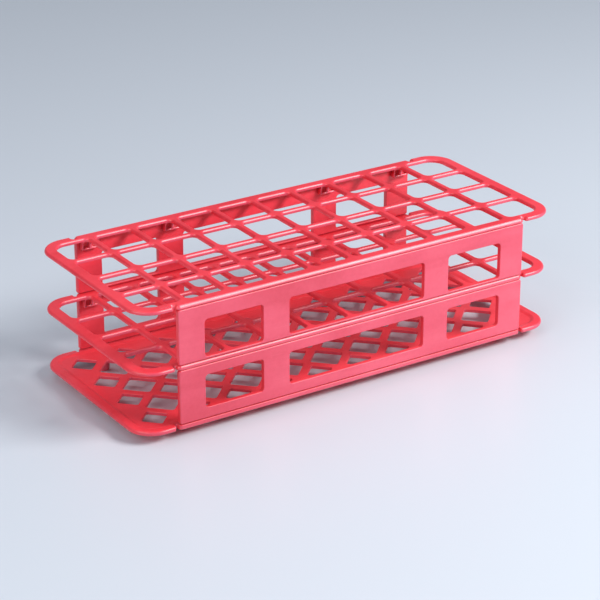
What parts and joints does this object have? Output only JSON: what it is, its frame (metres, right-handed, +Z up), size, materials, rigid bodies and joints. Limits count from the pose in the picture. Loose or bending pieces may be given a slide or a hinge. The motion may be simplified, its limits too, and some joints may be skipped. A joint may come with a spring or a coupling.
{
  "type": "test tube rack",
  "caption": "Low rectangular rack that holds test tubes upright in square-grid decks over a perforated, footed base; its window-cut walls fold over on thin hinge webs.",
  "frame": {"origin": "centre of the footprint, in the plane of the feet", "axes": "+X along the rack, -Y the front, +Z up"},
  "size_m": [0.249, 0.105, 0.0705],
  "materials": {
    "plate_plastic": "satin, moulded coral-red polypropylene",
    "wall_plastic": "satin, moulded coral-red polypropylene",
    "hinge_plastic": "thin flexed polypropylene, slightly paler"
  },
  "bodies": {
    "base": {"base_plate": "plate_plastic", "base_front_hinge_web": "hinge_plastic", "base_back_hinge_web": "hinge_plastic"},
    "front_lower_wall": {"front_lower_wall": "wall_plastic"},
    "back_lower_wall": {"back_lower_wall": "wall_plastic"},
    "middle_deck": {"middle_deck": "plate_plastic", "middle_deck_front_lower_hinge_web": "hinge_plastic", "middle_deck_back_lower_hinge_web": "hinge_plastic", "middle_deck_front_upper_hinge_web": "hinge_plastic", "middle_deck_back_upper_hinge_web": "hinge_plastic"},
    "front_upper_wall": {"front_upper_wall": "wall_plastic"},
    "back_upper_wall": {"back_upper_wall": "wall_plastic"},
    "top_deck": {"top_deck": "plate_plastic", "top_deck_front_hinge_web": "hinge_plastic", "top_deck_back_hinge_web": "hinge_plastic"}
  },
  "joints": [
    {"name": "lower_fold", "type": "hinge", "parent": "base", "child": "front_lower_wall", "pos_m": [0, -0.0512, 0.0092], "axis": [1, 0, 0], "range_deg": [0, 84], "deforming": ["base_front_hinge_web"]},
    {"name": "middle_deck_hinge", "type": "hinge", "parent": "front_lower_wall", "child": "middle_deck", "pos_m": [0, -0.0512, 0.0351], "axis": [1, 0, 0], "range_deg": [-84, 0], "deforming": ["middle_deck_front_lower_hinge_web", "middle_deck_back_lower_hinge_web"]},
    {"name": "back_lower_hinge", "type": "hinge", "parent": "base", "child": "back_lower_wall", "pos_m": [0, 0.0512, 0.0092], "axis": [1, 0, 0], "range_deg": [0, 84], "deforming": ["base_back_hinge_web"]},
    {"name": "upper_fold", "type": "hinge", "parent": "middle_deck", "child": "front_upper_wall", "pos_m": [0, -0.0512, 0.0405], "axis": [1, 0, 0], "range_deg": [0, 84], "deforming": ["middle_deck_front_upper_hinge_web"]},
    {"name": "top_deck_hinge", "type": "hinge", "parent": "front_upper_wall", "child": "top_deck", "pos_m": [0, -0.0512, 0.0667], "axis": [1, 0, 0], "range_deg": [-84, 0], "deforming": ["top_deck_front_hinge_web", "top_deck_back_hinge_web"]},
    {"name": "back_upper_hinge", "type": "hinge", "parent": "middle_deck", "child": "back_upper_wall", "pos_m": [0, 0.0512, 0.0405], "axis": [1, 0, 0], "range_deg": [0, 84], "deforming": ["middle_deck_back_upper_hinge_web"]}
  ],
  "couplings": [
    {"joint": "middle_deck_hinge", "follows": "lower_fold", "ratio": -1},
    {"joint": "back_lower_hinge", "follows": "lower_fold", "ratio": 1},
    {"joint": "top_deck_hinge", "follows": "upper_fold", "ratio": -1},
    {"joint": "back_upper_hinge", "follows": "upper_fold", "ratio": 1}
  ]
}
